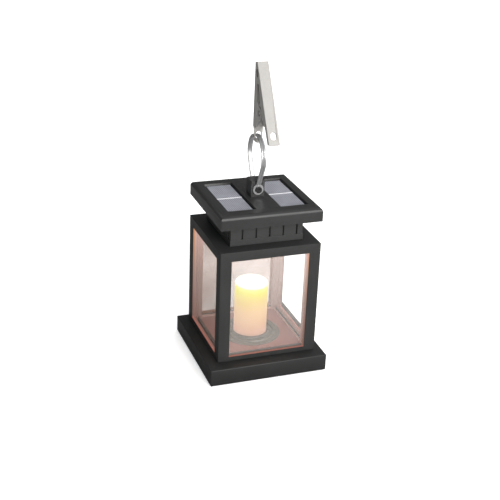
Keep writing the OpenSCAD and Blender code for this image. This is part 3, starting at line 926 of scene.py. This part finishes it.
class LANTERN_OT_spring(bpy.types.Operator):
    """Wind the clip spring and its arm"""

    bl_idname = "lantern.spring"
    bl_label = "Clip spring"

    def wind(self, wire, start_x, turns, pitch, lean):
        """A coil about the X axis that starts with a straight arm."""
        ring_radius = 2.3 * MM
        arm = Vector((0.0, math.sin(lean), -math.cos(lean)))
        outward = Vector((0.0, math.cos(lean), math.sin(lean)))
        bm = bmesh.new()
        circle = bmesh.ops.create_circle(bm, cap_ends=True, radius=wire / 2, segments=16)["verts"]
        toward = Matrix((Vector((1, 0, 0)), outward, arm)).transposed().to_4x4()
        bmesh.ops.transform(bm, matrix=toward, verts=circle)
        start = Vector((start_x, 0.0, 0.0)) + outward * ring_radius
        length = 14.0
        bmesh.ops.translate(bm, vec=start + arm * length * MM, verts=circle)
        cap = bm.faces[:]
        raised = bmesh.ops.extrude_face_region(bm, geom=cap)["geom"]
        verts = [item for item in raised if isinstance(item, bmesh.types.BMVert)]
        bmesh.ops.translate(bm, vec=-arm * length * MM, verts=verts)
        end = [item for item in raised if isinstance(item, bmesh.types.BMFace)]
        steps = int(48 * turns)
        bmesh.ops.spin(
            bm,
            geom=end,
            cent=(0.0, 0.0, 0.0),
            axis=(1, 0, 0),
            dvec=(turns * pitch / steps, 0.0, 0.0),
            angle=math.tau * turns,
            steps=steps,
            use_merge=False,
        )
        bmesh.ops.recalc_face_normals(bm, faces=bm.faces)
        return bm

    def execute(self, context):
        sizes = settings()[0]
        wire = sizes.spring_wire
        pitch = 0.85 * MM
        lean = math.atan2(6.5, 12.0)
        spring = metal_material("Spring wire", (0.45, 0.45, 0.46), 0.3, (6000.0, 900.0, 900.0))
        coil = self.wind(wire, -1.3 * MM, 2.5, pitch, lean)
        bmesh.ops.translate(coil, vec=CLIP_PIN, verts=coil.verts)
        replaced = ("clip_spring",)
        make_piece(coil, "spring_coil", "clip", spring, replaced, angle=60.0)
        arm = self.wind(wire, 1.3 * MM, 0.5, -pitch, lean)
        bmesh.ops.scale(arm, vec=(1.0, -1.0, 1.0), verts=arm.verts)
        bmesh.ops.rotate(
            arm, cent=(0, 0, 0), matrix=Matrix.Rotation(-CLIP_ANGLE, 3, "X"), verts=arm.verts
        )
        bmesh.ops.recalc_face_normals(arm, faces=arm.faces)
        bmesh.ops.translate(arm, vec=CLIP_PIN, verts=arm.verts)
        replaced = ("clip_spring_arm",)
        name, body = "spring_front_arm", "front_jaw"
        make_piece(arm, name, body, spring, replaced, angle=60.0)
        return {"FINISHED"}


class LANTERN_OT_works(bpy.types.Operator):
    """Finish the feet, screws, seal, battery, board, lamp, leads and switch"""

    bl_idname = "lantern.works"
    bl_label = "Works"

    def execute(self, context):
        zinc = metal_material("Zinc screw", (0.5, 0.5, 0.52), 0.38, (2500.0, 2500.0, 2500.0))
        for node in ("base_screws", "frame_screws", "neck_screws", "board_screws", "roof_screws"):
            dress(node, zinc)
        tin, run = (0.7, 0.69, 0.66), (600.0, 5000.0, 600.0)
        dress("battery_contacts", metal_material("Tinned contact", tin, 0.3, run))
        black = (0.018, 0.018, 0.018)
        rubber = plastic_material("Rubber", black, 0.8, grain=1800.0, bump=0.03, level=0.2)
        dress("rubber_feet", rubber)
        dress("roof_seal", rubber)
        cover = plastic_material("Black cover", (0.022, 0.022, 0.022), 0.55, bump=0.02)
        dress("base_cover", cover)
        dark = plastic_material("Grey works plastic", (0.05, 0.05, 0.055), 0.5)
        for node in ("battery_holder", "switch_body", "switch_knob"):
            dress(node, dark)
        epoxy = plastic_material("Lamp epoxy", (0.85, 0.55, 0.2), 0.12, grain=500.0, level=0.5)
        dress("led_lamp", epoxy)
        dress("battery_cell", self.sleeve())
        dress("circuit_board", self.laminate())
        for node, name, colour in (
            ("wires_red", "Red lead", (0.42, 0.03, 0.025)),
            ("wires_black", "Black lead", (0.02, 0.02, 0.02)),
        ):
            dress(node, plastic_material(name, colour, 0.35, grain=1500.0))
        return {"FINISHED"}

    def sleeve(self):
        """A shrink sleeve with a bare end at each side."""
        material, tree, shader = new_material("Battery sleeve")
        split = axes(tree, object_place(tree))
        along = math_node(tree, "ABSOLUTE", split["X"])
        end = map_range(tree, along, 14.2 * MM, 14.4 * MM)
        green = (0.04, 0.22, 0.10, 1.0)
        cover = place_group(tree, "Moulded grain", Color=green, Roughness=0.25, Grain=700.0)
        colour = mix_colour(tree, end, cover.outputs["Color"], (0.6, 0.6, 0.62))
        link(tree, colour, shader.inputs["Base Color"])
        link(tree, end, shader.inputs["Metallic"])
        link(tree, cover.outputs["Roughness"], shader.inputs["Roughness"])
        return material

    def laminate(self):
        """Green solder mask with tracks."""
        material, tree, shader = new_material("Board laminate")
        place = object_place(tree, (520.0, 520.0, 520.0))
        cells = add_node(
            tree, "ShaderNodeTexVoronoi", feature="DISTANCE_TO_EDGE", distance="MANHATTAN"
        )
        cells.inputs["Scale"].default_value = 1.0
        link(tree, place, cells.inputs["Vector"])
        track = map_range(tree, cells.outputs["Distance"], 0.05, 0.09, 1.0, 0.0)
        mask = place_group(tree, "Moulded grain", Color=(0.012, 0.13, 0.045, 1.0), Roughness=0.3)
        colour = mix_colour(tree, track, mask.outputs["Color"], (0.03, 0.22, 0.08))
        link(tree, colour, shader.inputs["Base Color"])
        link(tree, mask.outputs["Roughness"], shader.inputs["Roughness"])
        add_bump(tree, shader, track, 0.03 * MM)
        return material


class LANTERN_OT_stage(bpy.types.Operator):
    """Set up the pale floor, the soft lights and the camera"""

    bl_idname = "lantern.stage"
    bl_label = "Stage"

    def execute(self, context):
        self.floor()
        self.world()
        self.lights()
        self.camera()
        context.scene.view_settings.view_transform = "Standard"
        return {"FINISHED"}

    def floor(self):
        """A pale floor, brighter to the camera and darker in reflections."""
        bm = bmesh.new()
        bmesh.ops.create_grid(bm, x_segments=1, y_segments=1, size=6.0)
        mesh = bpy.data.meshes.new("pale_floor")
        bm.to_mesh(mesh)
        bm.free()
        floor = bpy.data.objects.new("pale_floor", mesh)
        bpy.context.scene.collection.objects.link(floor)
        material, tree, shader = new_material("Pale floor")
        surface = place_group(
            tree,
            "Moulded grain",
            Color=(0.93, 0.93, 0.93, 1.0),
            Roughness=0.9,
            Grain=60.0,
            Shade=0.01,
        )
        mirrored = add_node(tree, "ShaderNodeLightPath").outputs["Is Glossy Ray"]
        soft = mix_colour(tree, mirrored, surface.outputs["Color"], (0.26, 0.26, 0.26))
        link(tree, soft, shader.inputs["Base Color"])
        link(tree, surface.outputs["Roughness"], shader.inputs["Roughness"])
        shader.inputs["Specular IOR Level"].default_value = 0.0
        shader.inputs["Emission Color"].default_value = (1.0, 1.0, 1.0, 1.0)
        seen = add_node(tree, "ShaderNodeLightPath").outputs["Is Camera Ray"]
        link(tree, math_node(tree, "MULTIPLY", seen, 0.4), shader.inputs["Emission Strength"])
        mesh.materials.append(material)

    def world(self):
        """A pale room that is brighter in front and on the right."""
        world = bpy.data.worlds.new("Studio")
        world.use_nodes = True
        tree = world.node_tree
        background = tree.nodes["Background"]
        direction = add_node(tree, "ShaderNodeTexCoord").outputs["Generated"]
        split = axes(tree, direction)
        toward = (0.30, -0.85, 0.42)
        parts = [math_node(tree, "MULTIPLY", split[i], toward[i]) for i in range(3)]
        facing = math_node(tree, "ADD", math_node(tree, "ADD", parts[0], parts[1]), parts[2])
        bright = map_range(tree, facing, -0.35, 0.95, 0.12, 1.15)
        tone = mix_colour(tree, bright, UNLIT, WHITE)
        seen = add_node(tree, "ShaderNodeLightPath").outputs["Is Camera Ray"]
        link(tree, mix_colour(tree, seen, tone, WHITE), background.inputs["Color"])
        background.inputs["Strength"].default_value = 1.0
        bpy.context.scene.world = world

    def lights(self):
        """Three soft lights aimed at the middle; reflections don't show the one behind."""
        target = (0.0, 0.0, 0.1)
        rows = (
            ("key_light", (0.3, -1.1, 0.5), 0.9, 18.0, (1.0, 0.99, 0.98)),
            ("top_light", (0.1, 0.1, 1.4), 1.2, 3.0, WHITE),
            ("back_light", (0.45, 1.1, 0.45), 0.9, 6.0, WHITE),
        )
        for name, place, size, power, colour in rows:
            data = bpy.data.lights.new(name, "AREA")
            data.shape = "DISK"
            data.size = size
            data.energy = power
            data.color = colour
            light = bpy.data.objects.new(name, data)
            light.location = place
            aim = Vector(target) - Vector(place)
            light.rotation_euler = aim.to_track_quat("-Z", "Y").to_euler()
            light.visible_glossy = name != "back_light"
            bpy.context.scene.collection.objects.link(light)

    def camera(self):
        """A long lens from the front left, a little above."""
        turn, rise, roll = math.radians(-20.34), math.radians(23.86), math.radians(2.26)
        back = Vector(
            (math.sin(turn) * math.cos(rise), -math.cos(turn) * math.cos(rise), math.sin(rise))
        )
        level = Vector((math.cos(turn), math.sin(turn), 0.0))
        up = back.cross(level)
        right = math.cos(roll) * level + math.sin(roll) * up
        upright = -math.sin(roll) * level + math.cos(roll) * up
        data = bpy.data.cameras.new("studio_camera")
        data.lens = 73.19
        data.sensor_width = 36.0
        camera = bpy.data.objects.new("studio_camera", data)
        across, height, distance = -2.06 * MM, 80.4 * MM, 719.3 * MM
        place = level * across + Vector((0.0, 0.0, height)) + back * distance
        turned = Matrix((right, upright, back)).transposed().to_4x4()
        camera.matrix_world = Matrix.Translation(place) @ turned
        bpy.context.scene.collection.objects.link(camera)
        bpy.context.scene.camera = camera


class LANTERN_PT_panel(bpy.types.Panel):
    """Lists the pieces of the lantern and their settings"""

    bl_idname = "LANTERN_PT_panel"
    bl_label = "Solar Lantern"
    bl_space_type = "VIEW_3D"
    bl_region_type = "UI"
    bl_category = "Lantern"

    def draw(self, context):
        for group in (context.scene.lantern_sizes, context.scene.lantern_colours):
            box = self.layout.box()
            for name in group.__annotations__:
                box.prop(group, name)
        for operator in OPERATORS:
            self.layout.operator(operator.bl_idname)


OPERATORS = (
    LANTERN_OT_mouldings,
    LANTERN_OT_glazing,
    LANTERN_OT_candle,
    LANTERN_OT_solar_panels,
    LANTERN_OT_bail,
    LANTERN_OT_clip,
    LANTERN_OT_spring,
    LANTERN_OT_works,
    LANTERN_OT_stage,
)
CLASSES = (LanternSizes, LanternColours, *OPERATORS, LANTERN_PT_panel)


def register():
    for item in CLASSES:
        bpy.utils.register_class(item)
    bpy.types.Scene.lantern_sizes = bpy.props.PointerProperty(type=LanternSizes)
    bpy.types.Scene.lantern_colours = bpy.props.PointerProperty(type=LanternColours)


def unregister():
    del bpy.types.Scene.lantern_colours
    del bpy.types.Scene.lantern_sizes
    for item in reversed(CLASSES):
        bpy.utils.unregister_class(item)


def main():
    register()
    bpy.ops.lantern.mouldings()
    bpy.ops.lantern.glazing()
    bpy.ops.lantern.candle()
    bpy.ops.lantern.solar_panels()
    bpy.ops.lantern.bail()
    bpy.ops.lantern.clip()
    bpy.ops.lantern.spring()
    bpy.ops.lantern.works()
    bpy.ops.lantern.stage()


if __name__ == "__main__":
    main()
